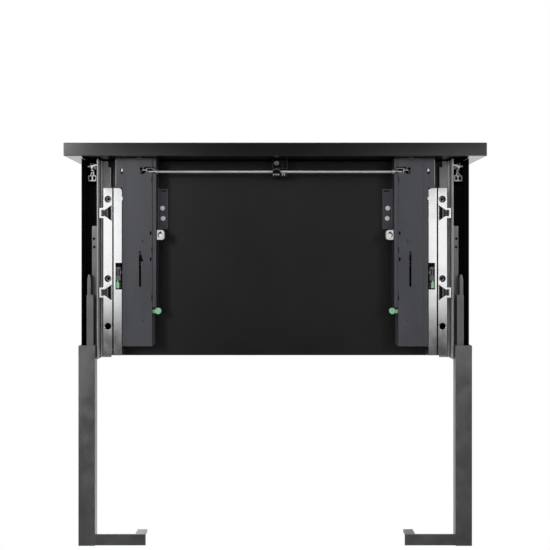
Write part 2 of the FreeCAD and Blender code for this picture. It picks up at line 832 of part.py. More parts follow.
right_side = []
for radius in (5.0, 5.638, 5.9, 6.2, 6.55, 7.0):
    angle = flank(radius)
    right_side.append((tooth * (radius * math.sin(angle)), tooth * (radius * math.cos(angle))))
tooth_sketch = flat_sketch(pinion_body, "x", -bar_in - bar_wide)
bind(tooth_sketch, "AttachmentOffset.Base.x", shaft_y)
bind(tooth_sketch, "AttachmentOffset.Base.y", shaft_z)
draw(tooth_sketch, right_side + [(-u, v) for u, v in reversed(right_side)])
tooth_pad = pinion_body.newObject("PartDesign::Pad", "tooth")
tooth_pad.Profile = tooth_sketch
bind(tooth_pad, "Length", bar_wide)
pinion_body.Tip = tooth_pad
ring_of_teeth = pinion_body.newObject("PartDesign::PolarPattern", "teeth")
ring_of_teeth.Originals = [tooth_pad]
ring_of_teeth.Axis = (hub_sketch, ["N_Axis"])
ring_of_teeth.Angle = 360
ring_of_teeth.Occurrences = teeth
pinion_body.Tip = ring_of_teeth
both("shaft_pinions", pinion_body)

# Trigger bar with its rack, drawn at its released end
pitch_line = shaft_z + tooth * 6
tip_line = pitch_line - tooth * 0.65
root_line = pitch_line + tooth * 1.15
half_tip = tooth * ((1.10 / 2 - 0.52 * 0.36397) / 0.8)
half_root = tooth * ((1.10 / 2 + 0.92 * 0.36397) / 0.8)
bar_start = size("trigger_start_y", -253.4)
bar_end = size("trigger_end_y", -114)
rack = [(bar_start, bar_high), (bar_start, root_line)]
for i in range(-2, 4):
    middle = shaft_y + tooth * (math.pi * (i + 0.5))
    rack += [
        (middle - half_root, root_line),
        (middle - half_tip, tip_line),
        (middle + half_tip, tip_line),
        (middle + half_root, root_line),
    ]
rack += [
    (shaft_y + tooth * (math.pi * 4.2), root_line),
    (shaft_y + tooth * (math.pi * 4.2), bar_low),
    (bar_end, bar_low),
    (bar_end + 3, bar_high),
]
pair("trigger_bar", prism("x", rack, -bar_in - bar_wide, -bar_in))

# Latch that holds the carriage, drawn lifted
latch_lift = math.radians(12.01)
latch_arm = [
    (-15.6, -3.2),
    (-13.6, -3.2),
    (-13.2, -1.1),
    (0, -1.1),
    (0, 1.2),
    (-14.4, 1.2),
    (-15.6, -0.1),
]
latch_outline = []
for reach, height in latch_arm:
    along = reach * math.cos(latch_lift) + height * math.sin(latch_lift)
    up = height * math.cos(latch_lift) - reach * math.sin(latch_lift)
    latch_outline.append((latch_y + along, latch_z + up))
latch = cut(
    fuse(
        prism("x", latch_outline, -tray_out + 24.6, -tray_out + 30.1),
        rod("x", (-tray_out + 24.6, latch_y, latch_z), 5.5, 2),
    ),
    rod("x", (-tray_out + 23.4, latch_y, latch_z), 8, latch_pin_r + latch_fit),
)
pair("latch", latch)

# Green force lever with its round knob
knob_x = tray_in - size("knob_inset", 2.3)
knob_r = size("knob_radius", 4.6)
lever_low = lift + tray_wall + 1.7
force_lever = cut(
    fuse(
        rod("z", (-lever_x, lever_y, lever_low), 3.2, 3.6),
        box((-lever_x, -knob_x), (lever_y - 2, lever_y + 3.2), (lever_low, lever_low + 3.2)),
        rod("z", (-knob_x, lever_y, lever_low - 0.1), 4.1, knob_r),
    ),
    rod("z", (-lever_x, lever_y, lift), 12, lever_pin_r + fit),
)
pair("force_lever", force_lever)

# Centre bracket, its screw, and the bushes that carry the shaft
bracket_start = size("bracket_offset", -4.2)
bracket_x = (bracket_start, bracket_start + size("bracket_width", 22.4))
hook_x = (bracket_start + 0.9, bracket_start + 11.4)
fin_x = [bracket_start + reach for reach in (14, 17, 19.6)]
screw_x = bracket_start + 6.1
screw_y = shaft_y - 13.1
bracket = cut(
    fuse(
        box(bracket_x, (shaft_y - 18.5, shaft_y + 5), (base_low - 2.5, base_low)),
        box(bracket_x, about(shaft_y, 10), (shaft_z + 0.4, base_low)),
        box(hook_x, (shaft_y, shaft_y + 5.5), (shaft_z - 4.2, shaft_z + 0.6)),
        box(hook_x, (shaft_y + 4, shaft_y + 9.6), (shaft_z - 3.4, base_low)),
        box((bracket_start, hook_x[1]), (shaft_y - 18.5, shaft_y - 8), (lift + 12, base_low)),
        *[box(span(fin, 1.3), (shaft_y + 4, shaft_y + 9.6), (shaft_z - 3.4, base_low)) for fin in fin_x],
    ),
    rod("x", (bracket_start - 1, shaft_y, shaft_z), 26, shaft_r + shaft_fit),
    rod("z", (screw_x, screw_y, lift + 11), 12, 1.6),
)
node("shaft_bracket", bracket)
node(
    "bracket_screw",
    cut(
        fuse(
            rod("z", (screw_x, screw_y, lift + 9.8), 2.2, 3.5),
            rod("z", (screw_x, screw_y, lift + 11.5), base_low - lift - 11.5, 1.6),
        ),
        box(about(screw_x, 4.6), about(screw_y, 0.9), (lift + 9, lift + 10.8)),
        box(about(screw_x, 0.9), about(screw_y, 4.6), (lift + 9, lift + 10.8)),
    ),
)
both("shaft_bushes", tube("x", (-tray_in - 2, shaft_y, shaft_z), 2.6, as_length(3.5), shaft_r + shaft_fit))

# White adjuster block and its cam
cam_x = tray_in - size("cam_inset", 5.8)
cam_y = size("cam_y", -156)
cam_r = size("cam_radius", 3)
cam_fit = size("cam_running_gap", 0.05)
block_low = lift + 3
block_high = lift + 9
adjuster = cut(
    fuse(
        box((-tray_in + 0.6, -tray_in + 10.9), (-163.6, -148.9), (block_low, block_high)),
        box((-tray_in, -tray_in + 5), (-160, -152), (block_high - 0.5, base_low)),
    ),
    rod("z", (-cam_x, cam_y, block_low - 1), 5, cam_r + cam_fit),
)
pair("adjuster_block", adjuster)
cam = cut(
    rod("z", (-cam_x, cam_y, block_low - 0.4), 3.9, cam_r),
    box(about(-cam_x, 4.4), about(cam_y, 1), (block_low - 1, block_low + 1.4)),
)
pair("adjuster_cam", cam)

# Mounting tab with its rivets, and the cone pin of the keyhole
tab_low = base_low - 1.5
rivet_spots = (
    (tray_in - size("front_rivet_inset", 5.4), size("front_rivet_y", -196.3)),
    (tray_in - size("rear_rivet_inset", 6.2), size("rear_rivet_y", -181.2)),
)
tab = cut(
    fuse(
        box((-tray_in, -tray_in + 13.4), (-224.6, -165.3), (tab_low, base_low)),
        box((-tray_in, -tray_in + 1.5), (-224.6, -165.3), (base_low - 9, base_low)),
    ),
    box(across(tray_in, 3.5, 11), (-222.4, -220.4), (tab_low - 1, base_low + 1)),
    *[rod("z", (-x, y, tab_low - 1), 4, 2) for x, y in rivet_spots],
)
pair("mounting_tab", tab)
rivets = [
    fuse(
        rod("z", (-x, y, tab_low - 1.2), 1.2, 2.9, 3.6),
        rod("z", (-x, y, tab_low - 0.2), 1.7, 2),
    )
    for x, y in rivet_spots
]
pin = fuse(
    rod("z", (-tray_out - 0.4, -248.9, lift + 3.2), 3, 0.9, 2),
    rod("z", (-tray_out - 0.4, -248.9, lift + 6), base_low - lift - 6, 2),
)
both("rivets_and_pins", group(rivets + [pin]))

# Silver front fixing in the side's cavity, and its adjusting screw
fixing_low = lift + 12
adjust_y = drawer_front + 15.5
adjust_z = lift + 60
adjust_r = size("adjust_screw_radius", 2.5)
adjust_fit = size("adjust_running_gap", 0.05)
fixing = cut(
    fuse(
        box(across(side_out, 6.6, 18.9), (-259.3, -256), (fixing_low, fixing_low + 1.5)),
        box(across(side_out, 10, 14.4), (-256.5, -242.5), (fixing_low, fixing_low + 1.5)),
        box(across(side_out, 6.1, 18.3), (-242.9, -233.7), (fixing_low, fixing_low + 1.5)),
        box(across(side_out, 11, 13), (-262, -234), (fixing_low + 1, lift + 100)),
        box(across(side_out, 3.8, 14.4), (front_back, front_back + 1.4), (lift + 24, lift + 104)),
        box(across(side_out, 11, 13), (front_back + 1, -261.5), (lift + 24, lift + 100)),
        rod("x", (-side_out + 7.5, adjust_y, adjust_z), 6, 5),
    ),
    box(across(side_out, 7.4, 10.6), (-241.4, -235.4), (fixing_low - 1, fixing_low + 3)),
    box(across(side_out, 13.4, 16.8), (-241.4, -235.4), (fixing_low - 1, fixing_low + 3)),
    rod("x", (-side_out + 3, adjust_y, adjust_z), 12, adjust_r + adjust_fit),
)
pair("front_fixing", fixing)
adjust_screw = cut(
    fuse(
        rod("x", (-side_out + 6.6, adjust_y, adjust_z), 7.4, adjust_r),
        rod("x", (-side_out + 3.7, adjust_y, adjust_z), 3.4, 4.1),
    ),
    box(across(side_out, 3, 5.1), about(adjust_y, 5.2), about(adjust_z, 1.1)),
    box(across(side_out, 3, 5.1), about(adjust_y, 1.1), about(adjust_z, 5.2)),
)
pair("front_screw", adjust_screw)

# Corner brackets between the sides and the back panel
back_face = back_end - back_thick
back_bracket = fuse(
    box((-side_in, -side_in + 1.2), (back_face - 20, back_face), (base_high + 3, side_high - 6)),
    box((-side_in, -side_in + 18), (back_face - 1.2, back_face), (base_high + 3, side_high - 6)),
)
both("back_brackets", back_bracket)

doc.recompute()
spring.Spine = (coil, [f"Edge{i + 1}" for i in range(len(coil.Shape.Edges))])
pair("ejector_spring", spring)
doc.recompute()

for thing in doc.Objects:
    if {"Invalid", "Error"} & set(thing.State):
        raise RuntimeError(f"{thing.Label} doesn't compute: {thing.State}")
for name, thing in nodes.items():
    if thing.Shape.isNull() or not thing.Shape.isValid():
        raise RuntimeError(f"{name} has no valid shape")
    thing.Shape.exportStep(f"parts/{name}.step")
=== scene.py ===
import json
import math

import bmesh
import bpy
from mathutils import Matrix, Vector

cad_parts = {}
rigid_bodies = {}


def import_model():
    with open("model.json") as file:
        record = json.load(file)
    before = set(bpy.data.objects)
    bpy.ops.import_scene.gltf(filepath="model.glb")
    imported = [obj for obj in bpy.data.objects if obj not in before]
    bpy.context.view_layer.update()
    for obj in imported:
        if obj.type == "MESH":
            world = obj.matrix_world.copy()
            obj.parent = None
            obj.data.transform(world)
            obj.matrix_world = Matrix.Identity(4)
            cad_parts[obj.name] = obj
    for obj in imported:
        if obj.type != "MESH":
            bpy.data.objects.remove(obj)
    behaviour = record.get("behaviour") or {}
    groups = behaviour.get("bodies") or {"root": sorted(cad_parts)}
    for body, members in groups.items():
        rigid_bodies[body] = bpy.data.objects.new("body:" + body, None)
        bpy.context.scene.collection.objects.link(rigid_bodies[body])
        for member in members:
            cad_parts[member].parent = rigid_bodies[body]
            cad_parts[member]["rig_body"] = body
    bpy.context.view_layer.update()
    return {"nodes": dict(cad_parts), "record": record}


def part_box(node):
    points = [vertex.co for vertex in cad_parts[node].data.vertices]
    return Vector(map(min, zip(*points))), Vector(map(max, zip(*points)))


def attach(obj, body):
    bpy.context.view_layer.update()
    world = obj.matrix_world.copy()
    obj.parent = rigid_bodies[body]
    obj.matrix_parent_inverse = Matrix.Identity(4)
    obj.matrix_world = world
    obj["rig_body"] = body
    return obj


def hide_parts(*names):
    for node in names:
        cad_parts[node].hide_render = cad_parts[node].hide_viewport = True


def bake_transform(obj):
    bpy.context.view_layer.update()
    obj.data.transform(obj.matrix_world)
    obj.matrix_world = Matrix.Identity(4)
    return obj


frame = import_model()
record = frame["record"]
MM = 0.001
SIDES = ("left", "right")


# Materials

NOISE_SPAN = (0.3, 0.7)
GRAIN_SPAN = (0.25, 0.75)
EDGE_SPAN = (0.52, 0.62)
LEAST_ROUGH = 0.02
COAT_ROUGH = 0.24
# Socket numbers of a mix node that blends colours
MIX_FACTOR, MIX_FIRST, MIX_SECOND, MIX_RESULT = 0, 6, 7, 2


def srgb(red, green, blue):
    """A colour as it is read off a screen, 0 to 255, turned to linear light."""
    return tuple(((c / 255 + 0.055) / 1.055) ** 2.4 for c in (red, green, blue)) + (1.0,)


def plain(level):
    """A colourless tone in linear light."""
    return (level, level, level, 1)


def math_node(tree, operation, *sources):
    """The output of a math node over one or two values."""
    made = tree.nodes.new("ShaderNodeMath")
    made.operation = operation
    for source, socket in zip(sources, made.inputs):
        tree.links.new(source, socket)
    return made.outputs["Value"]


def remap(tree, source, span, levels, smooth=False):
    """A value carried over from one span to another."""
    made = tree.nodes.new("ShaderNodeMapRange")
    if smooth:
        made.interpolation_type = "SMOOTHSTEP"
    for key, value in zip(("From Min", "From Max", "To Min", "To Max"), (*span, *levels)):
        made.inputs[key].default_value = value
    tree.links.new(source, made.inputs["Value"])
    return made.outputs["Result"]


def surface(
    name,
    colour,
    rough,
    metallic=0.0,
    spread=0.12,
    patch=40.0,
    grain=900.0,
    stretch=(1, 1, 1),
    bump=0.15,
    bump_depth=0.00002,
    rough_spread=0.08,
    edge=0.0,
    edge_colour=None,
    specular=0.5,
    coat=0.0,
):
    """A node material with mottled colour, uneven gloss, fine grain and worn edges."""
    material = bpy.data.materials.new(name)
    material.use_nodes = True
    tree = material.node_tree
    shader = tree.nodes["Principled BSDF"]
    shader.inputs["Metallic"].default_value = metallic
    shader.inputs["Specular IOR Level"].default_value = specular
    shader.inputs["Coat Weight"].default_value = coat
    shader.inputs["Coat Roughness"].default_value = COAT_ROUGH

    def add(kind, **inputs):
        made = tree.nodes.new(kind)
        for key, value in inputs.items():
            made.inputs[key].default_value = value
        return made

    place = add("ShaderNodeTexCoord")
    mapping = add("ShaderNodeMapping", Scale=stretch)
    tree.links.new(place.outputs["Object"], mapping.inputs["Vector"])
    broad = add("ShaderNodeTexNoise", Scale=patch, Detail=4.0, Roughness=0.55)
    fine = add("ShaderNodeTexNoise", Scale=grain, Detail=3.0, Roughness=0.6)
    tree.links.new(place.outputs["Object"], broad.inputs["Vector"])
    tree.links.new(mapping.outputs["Vector"], fine.inputs["Vector"])

    levels = (1 - spread, 1 + spread)
    patches = remap(tree, broad.outputs["Fac"], NOISE_SPAN, levels)
    streaks = remap(tree, fine.outputs["Fac"], GRAIN_SPAN, levels)
    tint = add("ShaderNodeVectorMath")
    tint.operation = "SCALE"
    tint.inputs[0].default_value = colour[:3]
    tree.links.new(math_node(tree, "MULTIPLY", patches, streaks), tint.inputs["Scale"])
    paint = tint.outputs["Vector"]
    if edge:
        form = add("ShaderNodeNewGeometry")
        mix = tree.nodes.new("ShaderNodeMix")
        mix.data_type = "RGBA"
        worn = remap(tree, form.outputs["Pointiness"], EDGE_SPAN, (0.0, edge))
        tree.links.new(worn, mix.inputs[MIX_FACTOR])
        tree.links.new(paint, mix.inputs[MIX_FIRST])
        mix.inputs[MIX_SECOND].default_value = edge_colour
        paint = mix.outputs[MIX_RESULT]
    tree.links.new(paint, shader.inputs["Base Color"])

    gloss = (max(rough - rough_spread, LEAST_ROUGH), rough + rough_spread)
    tree.links.new(remap(tree, broad.outputs["Fac"], NOISE_SPAN, gloss), shader.inputs["Roughness"])
    relief = add("ShaderNodeBump", Strength=bump, Distance=bump_depth)
    tree.links.new(fine.outputs["Fac"], relief.inputs["Height"])
    tree.links.new(relief.outputs["Normal"], shader.inputs["Normal"])
    return material


# Grain that the materials of a kind have in common
ALONG = (1, 0.03, 1)
COATED = {"patch": 30, "grain": 3200, "bump": 0.4}
ROLLED = {"patch": 45, "grain": 1500, "stretch": ALONG, "rough_spread": 0.1}
CAST = {"patch": 80, "grain": 2200, "bump": 0.4, "spread": 0.14, "rough_spread": 0.1}
MOULDED = {"patch": 60, "grain": 3000}
BLACK_MOULDED = {"patch": 60, "grain": 3500, "spread": 0.2}
GREY_MOULDED = {"patch": 50, "grain": 3800, "bump": 0.5, "spread": 0.07}

lacquer = surface("black_lacquer", plain(0.0035), 0.23, patch=9, grain=1400, bump=0.2, spread=0.15,
                  rough_spread=0.03, edge=0.5, edge_colour=plain(0.012), specular=0.9, coat=0.7)
board = surface("black_board", plain(0.0062), 0.5, patch=14, grain=2600, bump=0.5, bump_depth=0.00004,
                spread=0.2, rough_spread=0.05, edge=0.4, edge_colour=plain(0.02), specular=0.3)
dark_steel = surface("dark_coated_steel", (0.006, 0.006, 0.0065, 1), 0.42, spread=0.18, edge=0.5,
                     edge_colour=plain(0.05), specular=0.35, **COATED)
# Near-black, dull steel: painted shade in the side's cavity and the drawer rail's channel
painted_shade_steel = surface("painted_shade_steel", (0.004, 0.004, 0.0042, 1), 0.75, spread=0.25, specular=0.06, **COATED)
rail_zinc = surface("rail_zinc", (0.17, 0.17, 0.172, 1), 0.42, metallic=0.75, bump=0.35, spread=0.14,
                    edge=0.4, edge_colour=plain(0.42), **ROLLED)
flange_zinc = surface("flange_zinc", plain(0.42), 0.48, metallic=0.25, bump=0.35, spread=0.12, **ROLLED)
lip_zinc = surface("lip_zinc", plain(0.34), 0.42, metallic=0.5, bump=0.3, spread=0.1, **ROLLED)
bead_zinc = surface("bead_zinc", plain(0.62), 0.45, metallic=0.3, bump=0.3, spread=0.1, **ROLLED)
# Dark zinc: painted shade inside the carrier rail and beside the leg's bead
shade_zinc = surface("painted_shade_zinc", (0.02, 0.02, 0.021, 1), 0.5, metallic=0.5, patch=60, grain=1600,
                     stretch=ALONG, bump=0.3, spread=0.2)
bright = surface("bright_zinc", (0.94, 0.945, 0.95, 1), 0.2, metallic=1.0, patch=60, grain=1600,
                 stretch=ALONG, bump=0.12, spread=0.025, rough_spread=0.05)
grey = surface("anthracite_plastic", srgb(64, 65, 71), 0.5, edge=0.3, edge_colour=(0.14, 0.14, 0.15, 1),
               specular=0.4, **GREY_MOULDED)
# A darker copy of the anthracite plastic: painted shade on the housing's inner wall and the infill plate
wall_grey = surface("shaded_plastic", srgb(45, 45, 50), 0.55, specular=0.3, **GREY_MOULDED)
post_grey = surface("grey_plastic", srgb(84, 83, 87), 0.48, patch=70, grain=3600, bump=0.4, spread=0.08,
                    edge=0.3, edge_colour=plain(0.2), specular=0.4)
black = surface("black_plastic", (0.007, 0.007, 0.0075, 1), 0.42, bump=0.4, edge=0.35,
                edge_colour=plain(0.04), specular=0.4, **BLACK_MOULDED)
pitch = surface("deep_black_plastic", plain(0.0025), 0.6, bump=0.3, specular=0.1, **BLACK_MOULDED)
white = surface("white_plastic", (0.6, 0.6, 0.59, 1), 0.38, bump=0.25, spread=0.04, **MOULDED)
cam_white = surface("bright_white_plastic", (0.8, 0.8, 0.79, 1), 0.35, bump=0.2, spread=0.03, **MOULDED)
green = surface("pale_green_plastic", srgb(134, 186, 148), 0.42, bump=0.3, spread=0.06, edge=0.25,
                edge_colour=(0.34, 0.6, 0.38, 1), **MOULDED)
green_shade = surface("shaded_green_plastic", srgb(30, 54, 34), 0.5, bump=0.3, spread=0.08, specular=0.3,
                      **MOULDED)
oxide = surface("black_oxide_steel", (0.012, 0.012, 0.013, 1), 0.36, metallic=0.7, patch=90, grain=2600,
                bump=0.3, spread=0.2, edge=0.8, edge_colour=plain(0.16))
cast = surface("light_metal", (0.5, 0.5, 0.49, 1), 0.36, metallic=0.9, **CAST)
dull_cast = surface("dull_metal", plain(0.16), 0.45, metallic=0.6, **CAST)
fixing_metal = surface("fixing_metal", (0.46, 0.46, 0.45, 1), 0.42, metallic=0.7, **CAST)
rivet_metal = surface("rivet_metal", (0.8, 0.8, 0.81, 1), 0.5, metallic=0.3, patch=80, grain=2200, bump=0.2,
                      spread=0.06)
rod_metal = surface("drawn_rod", (0.92, 0.92, 0.91, 1), 0.36, metallic=0.8, patch=70, grain=1500,
                    stretch=(0.02, 1, 1), bump=0.2, spread=0.05)
spring_metal = surface("spring_wire", (0.3, 0.3, 0.31, 1), 0.3, metallic=1.0, patch=200, grain=2500,
                       bump=0.2, spread=0.1)
rolled = surface("rolled_steel", (0.7, 0.7, 0.71, 1), 0.2, metallic=1.0, patch=200, grain=2000, bump=0.15,
                 spread=0.05)

FINISH = {
    "black_panel": board,
    "side_steel": dark_steel,
    "zinc_steel": rail_zinc,
    "bright_steel": bright,
    "grey_plastic": grey,
    "black_plastic": black,
    "white_plastic": white,
    "green_plastic": green,
    "black_screw": oxide,
    "spring_steel": spring_metal,
    "light_metal": cast,
}
SPECIAL = {
    "front_panel": lacquer,
    "sync_shaft": rod_metal,
    "shaft_bushes": rod_metal,
    "rivets_and_pins": rivet_metal,
    "mounting_tab": grey,
    "lock_bodies": pitch,
    "lower_rollers": rolled,
    "upper_rollers": rolled,
}
slot_of = {part["node"]: part["material_slot"] for part in record["subparts"]}


def family_of(node):
    return node.removesuffix("_left").removesuffix("_right")


def finish_of(node):
    return SPECIAL.get(family_of(node)) or FINISH[slot_of[node]]


# Rounded-off copies of the solids: real sheet metal and mouldings have no knife edges

# Angles in degrees, and distances in metres
SMOOTH_BELOW = 38
FLAT_WITHIN = 1.5
NODE_BEVEL_ABOVE = 35
TRIM_BEVEL_ABOVE = 40
NODE_WELD = 0.000002
BEVEL_WELD = 0.000001

# Nodes whose halves differ, nodes that the trim rebuilds, and the rounding of the rest in mm
UNLIKE = ("unit_housing",)
REBUILT = ("ejector_spring", "shaft_couplings", "shaft_bracket", "bracket_screw", "adjuster_block",
           "adjuster_cam", "front_fixing", "release_lever")
EDGES = {
    "front_panel": 0.9,
    "base_panel": 0.4,
    "back_panel": 0.5,
    "side_profile": 0.35,
    "carrier_rail": 0.16,
    "carrier_screws": 0.35,
    "cabinet_rail": 0.3,
    "drawer_rail": 0.25,
    "middle_rail": 0.25,
    "unit_housing": 0.2,
    "strikers": 0.3,
    "force_lever": 0.5,
    "mounting_tab": 0.25,
    "lock_bodies": 0.25,
    "back_brackets": 0.25,
    "ejector_carriage": 0.25,
    "latch": 0.15,
    "trigger_bar": 0.12,
    "lower_cage": 0.15,
    "upper_cage": 0.15,
}


def add_mesh(name, shape, material, smooth_below=SMOOTH_BELOW):
    """An object from a bmesh, whose large flat faces stay flat beside its rounded edges."""
    mesh = bpy.data.meshes.new(name)
    shape.to_mesh(mesh)
    shape.free()
    piece = bpy.data.objects.new(name, mesh)
    bpy.context.scene.collection.objects.link(piece)
    mesh.materials.append(material)
    for face in mesh.polygons:
        face.use_smooth = True
    mesh.set_sharp_from_angle(angle=math.radians(smooth_below))
    weighted = piece.modifiers.new("flat_faces", "WEIGHTED_NORMAL")
    weighted.weight = 100
    weighted.keep_sharp = True
    return piece


def seat(piece, body, slot, *nodes):
    """Let a piece ride on a body, and hide the nodes that it stands for; its slot is not used."""
    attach(piece, body)
    if nodes:
        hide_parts(*nodes)
    return piece


def mirror(shape, verts, faces):
    """Turn a left part of a shape into its right twin."""
    bmesh.ops.scale(shape, vec=(-1, 1, 1), verts=verts)
    bmesh.ops.reverse_faces(shape, faces=faces)


def round_edges(shape, width, least):
    """Round the edges that turn by more than an angle in degrees, by a width in mm."""
    sharp = [e for e in shape.edges if len(e.link_faces) == 2 and e.calc_face_angle() > math.radians(least)]
    bmesh.ops.bevel(
        shape,
        geom=sharp,
        offset=width * MM,
        segments=2,
        profile=0.5,
        affect="EDGES",
        clamp_overlap=False,
        miter_outer="ARC",
    )
    bmesh.ops.remove_doubles(shape, verts=shape.verts, dist=BEVEL_WELD)


def soften(node, width):
    """A copy of a CAD node with its sharp edges rounded, in the node's place.

    A right piece is its left twin's copy mirrored, unless the two differ.
    """
    shape = bmesh.new()
    twin = node.endswith("_right") and family_of(node) not in UNLIKE
    source = node.replace("_right", "_left") if twin else node
    shape.from_mesh(frame["nodes"][source].data)
    bmesh.ops.remove_doubles(shape, verts=shape.verts, dist=NODE_WELD)
    bmesh.ops.dissolve_limit(
        shape, angle_limit=math.radians(FLAT_WITHIN), verts=shape.verts, edges=shape.edges
    )
    round_edges(shape, width, NODE_BEVEL_ABOVE)
    bmesh.ops.triangulate(shape, faces=[f for f in shape.faces if len(f.verts) > 4])
    if twin:
        mirror(shape, shape.verts, shape.faces)
    piece = add_mesh(f"{node}_body", shape, finish_of(node))
    return seat(piece, frame["nodes"][node]["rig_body"], slot_of[node], node)


def repaint(piece, material, chosen):
    """Give the faces that a test picks, by centre in mm and normal, another material."""
    piece.data.materials.append(material)
    index = len(piece.data.materials) - 1
    for face in piece.data.polygons:
        if chosen(face.center / MM, face.normal):
            face.material_index = index


soft = {}
for node in frame["nodes"]:
    family = family_of(node)
    if family in EDGES:
        soft[node] = soften(node, EDGES[family])
    elif family not in REBUILT:
        frame["nodes"][node].data.materials.clear()
        frame["nodes"][node].data.materials.append(finish_of(node))


def corners_of(node):
    """A node's lowest and highest corner in mm."""
    low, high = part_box(node)
    return Vector(low) / MM, Vector(high) / MM


# Heights and half widths of the frame that the finishes and the trim are set out from, in mm
TAB_REACH = 5.7
SIDE_GAP = 0.5
rail_corner = corners_of("carrier_rail_left")[0]
base_corners = corners_of("base_panel")
carrier_low = rail_corner.z
carrier_out = -rail_corner.x - TAB_REACH
base_low = base_corners[0].z
side_in = base_corners[1].x + SIDE_GAP
leg_out = -corners_of("drawer_rail_left")[1].x
housing_in = -corners_of("unit_housing_left")[1].x

# How far the faces with a finish of their own lie from those, in mm
CAVITY_OUT = 0.2
FLANGE_IN = 0.6
FLANGE_ROOF = 1
LIP_IN = 19.2
LIP_HEIGHT = 0.9
BOX_MIDDLE = 13.2
BOX_HALF = 12.2
BOX_FLOOR = 1.3
BOX_ROOF = 2.2
CHANNEL_STEP = 13
CHANNEL_LOW_OUT = 18
CHANNEL_HIGH_OUT = 1.6
STRIP_ROOF = 1
WALL_DEPTH = 0.3
WALL_FLOOR = 1.8


def side_cavity(at, way):
    return abs(at.x) > side_in + CAVITY_OUT and at.x * way.x < 0


def side_flange(at, way):
    return abs(at.x) < side_in - FLANGE_IN and at.z < base_low + FLANGE_ROOF


def side_lip(at, way):
    return abs(at.x) < side_in - LIP_IN and at.z < base_low - LIP_HEIGHT


def carrier_inside(at, way):
    return (abs(abs(at.x) - carrier_out + BOX_MIDDLE) < BOX_HALF
            and carrier_low + BOX_FLOOR < at.z < base_low - BOX_ROOF)


def rail_channel(at, way):
    return abs(at.x) > leg_out + (CHANNEL_LOW_OUT if at.z < carrier_low + CHANNEL_STEP else CHANNEL_HIGH_OUT)


def rail_leg(at, way):
    return abs(at.x) < leg_out + WALL_DEPTH and at.x * way.x < 0


def rail_strip(at, way):
    return at.z < carrier_low + STRIP_ROOF and abs(at.x) < side_in


def housing_wall(at, way):
    return abs(at.x) < housing_in + WALL_DEPTH and at.z > carrier_low + WALL_FLOOR and at.x * way.x < 0


# The side's flange is bare zinc. Painted highlight: the side's lip, the drawer rail's leg face and its low
# strip get lighter or glossier zinc. Painted shade: the side's cavity, the carrier rail's inside and the
# drawer rail's channel are near black, and the housing's inner wall is a darker grey
for side in SIDES:
    for family, finish, test in (
        ("side_profile", painted_shade_steel, side_cavity),
        ("side_profile", flange_zinc, side_flange),
        ("side_profile", lip_zinc, side_lip),
        ("carrier_rail", shade_zinc, carrier_inside),
        ("drawer_rail", painted_shade_steel, rail_channel),
        ("drawer_rail", flange_zinc, rail_leg),
        ("unit_housing", wall_grey, housing_wall),
        ("drawer_rail", lip_zinc, rail_strip),
    ):
        repaint(soft[f"{family}_{side}"], finish, test)


# Trim: shapes are built for the left side, in mm, and mirrored for the right

OUTLINE_WELD = 0.0005


def block(shape, x, y, z):
    """A box between two values along each axis."""
    made = bmesh.ops.create_cube(shape, size=1)["verts"]
    bmesh.ops.scale(shape, vec=(x[1] - x[0], y[1] - y[0], z[1] - z[0]), verts=made)
    bmesh.ops.translate(shape, vec=((x[0] + x[1]) / 2, (y[0] + y[1]) / 2, (z[0] + z[1]) / 2), verts=made)


def bar(shape, start, end, radius, end_radius=None, sides=32):
    """A round bar or cone from one point to another."""
    start, end = Vector(start), Vector(end)
    turn = (end - start).to_track_quat("Z", "Y").to_matrix().to_4x4()
    bmesh.ops.create_cone(
        shape,
        cap_ends=True,
        segments=sides,
        radius1=radius,
        radius2=radius if end_radius is None else end_radius,
        depth=(end - start).length,
        matrix=Matrix.Translation((start + end) / 2) @ turn,
    )


def ring(shape, middle, radius, wire, flat=1.0, sides=36, wire_sides=12):
    """A level ring of round or flattened wire."""
    loops = []
    for i in range(sides):
        a = 2 * math.pi * i / sides
        loop = []
        for k in range(wire_sides):
            b = 2 * math.pi * k / wire_sides
            out = radius + wire * math.cos(b)
            spot = Vector((out * math.cos(a), out * math.sin(a), flat * wire * math.sin(b)))
            loop.append(shape.verts.new(spot + Vector(middle)))
        loops.append(loop)
    for i in range(sides):
        for k in range(wire_sides):
            quad = (loops[i][k], loops[i - 1][k], loops[i - 1][k - 1], loops[i][k - 1])
            shape.faces.new(quad)


def prism(shape, outline, z):
    """A plate whose outline is seen from above, between two heights."""
    low = [shape.verts.new((x, y, z[0])) for x, y in outline]
    high = [shape.verts.new((x, y, z[1])) for x, y in outline]
    shape.faces.new(low)
    shape.faces.new(list(reversed(high)))
    for i in range(len(outline)):
        shape.faces.new((low[i - 1], low[i], high[i], high[i - 1]))


def strip(shape, start, end, width, z):
    """A flat bar between two points seen from above."""
    (x0, y0), (x1, y1) = start, end
    length = math.hypot(x1 - x0, y1 - y0)
    across, along = (y0 - y1) / length * width / 2, (x1 - x0) / length * width / 2
    prism(shape, [(x0 + across, y0 + along), (x0 - across, y0 - along),
                  (x1 - across, y1 - along), (x1 + across, y1 + along)], z)


def rounded(corners, steps=6):
    """An outline whose corners are (x, y, radius), as points."""
    points = []
    for i, (x, y, radius) in enumerate(corners):
        here = Vector((x, y))
        before = (Vector(corners[i - 1][:2]) - here).normalized()
        after = (Vector(corners[(i + 1) % len(corners)][:2]) - here).normalized()
        half = before.angle(after) / 2
        reach = radius / math.tan(half)
        centre = here + (before + after).normalized() * (radius / math.sin(half))
        start, end = here + before * reach - centre, here + after * reach - centre
        for k in range(steps + 1):
            points.append(tuple(centre + start.lerp(end, k / steps).normalized() * radius))
    return points


def rounded_box(x, y, radius):
    """A rectangle's outline with one radius at its four corners."""
    return rounded([(x[0], y[0], radius), (x[1], y[0], radius), (x[1], y[1], radius), (x[0], y[1], radius)])


def circle(x, y, radius, sides=36):
    """A round outline as points."""
    return [(x + radius * math.cos(2 * math.pi * i / sides), y + radius * math.sin(2 * math.pi * i / sides))
            for i in range(sides)]


